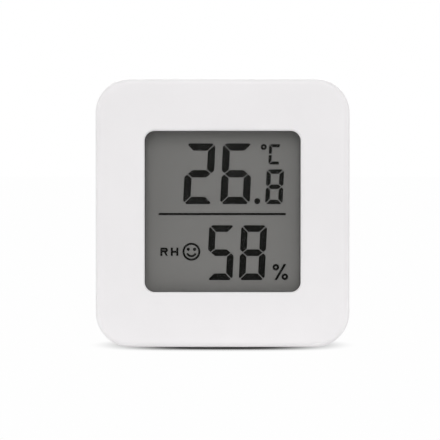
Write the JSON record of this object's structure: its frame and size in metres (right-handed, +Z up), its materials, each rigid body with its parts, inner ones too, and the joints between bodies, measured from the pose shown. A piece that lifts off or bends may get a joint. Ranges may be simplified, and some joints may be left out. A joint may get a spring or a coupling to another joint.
{
  "type": "temperature humidity sensor",
  "caption": "Rounded-square indoor temperature and humidity sensor with a recessed window, a grey reflective readout, a fold-out stand, a coin-cell cover and a hanging keyhole on its back.",
  "frame": {"origin": "middle of the foot: half the width and half the depth, at the underside that the case stands on", "axes": "+Z up; +X to the right as seen from the front; the window faces -Y and the back with the stand faces +Y"},
  "size_m": [0.0434, 0.0136, 0.046],
  "materials": {
    "front_white": "white moulded plastic with a very fine spark-eroded texture",
    "rear_white": "white moulded plastic with a fine spark-eroded texture",
    "cover_white": "white moulded plastic with a fine spark-eroded texture",
    "stand_white": "white moulded plastic, smooth satin",
    "button_white": "white moulded plastic, smooth satin",
    "lens_clear": "clear acrylic sheet",
    "tape": "black double-sided adhesive",
    "polarizer_film": "neutral polarizing film with an anti-glare face",
    "display_glass": "clear cut sheet glass",
    "segment_dark": "dark switched liquid crystal",
    "seal_resin": "cured seal resin",
    "reflector_grey": "grey diffuse reflector film",
    "frame_plastic": "off-white moulded plastic",
    "zebra_rubber": "layered conductive silicone",
    "board_green": "green solder resist over glass-fibre laminate",
    "chip_resin": "black encapsulating resin",
    "module_blue": "blue solder resist over glass-fibre laminate",
    "can_metal": "tinned sheet metal",
    "chip_body": "fired ceramic",
    "sensor_white": "white moulded plastic",
    "bead_brown": "dipped epoxy bead",
    "switch_black": "black moulded plastic",
    "plunger_grey": "dark grey moulded plastic",
    "contact_nickel": "nickel-plated spring strip",
    "cell_steel": "drawn stainless can",
    "screw_steel": "zinc-plated steel"
  },
  "bodies": {
    "case": {"front_case": "front_white", "window_tape": "tape", "window_lens": "lens_clear", "lcd_polarizer": "polarizer_film", "lcd_front_glass": "display_glass", "lcd_segments": "segment_dark", "lcd_seal": "seal_resin", "lcd_rear_glass": "display_glass", "lcd_reflector": "reflector_grey", "lcd_frame": "frame_plastic", "zebra_strip": "zebra_rubber", "circuit_board": "board_green", "chip_blob": "chip_resin", "radio_module": "module_blue", "radio_shield": "can_metal", "chip_parts": "chip_body", "crystal": "can_metal", "humidity_sensor": "sensor_white", "thermistor": "bead_brown", "tact_switch": "switch_black", "negative_contact": "contact_nickel", "positive_contact": "contact_nickel", "coin_cell": "cell_steel", "rear_case": "rear_white", "board_screws": "screw_steel", "case_screws": "screw_steel"},
    "set_button": {"set_button": "button_white", "switch_plunger": "plunger_grey"},
    "battery_cover": {"battery_cover": "cover_white"},
    "stand": {"stand": "stand_white"}
  },
  "joints": [
    {"name": "button_press", "type": "slide", "parent": "case", "child": "set_button", "axis": [0, -1, 0], "range_m": [0, 0.0005], "stiffness_N_per_m": 1600},
    {"name": "cover_twist", "type": "hinge", "parent": "case", "child": "battery_cover", "pos_m": [0, 0.006, 0.019], "axis": [0, 1, 0], "range_deg": [0, 50]},
    {"name": "stand_fold", "type": "hinge", "parent": "case", "child": "stand", "pos_m": [0, 0.00565, 0.0325], "axis": [1, 0, 0], "range_deg": [0, 40]}
  ]
}
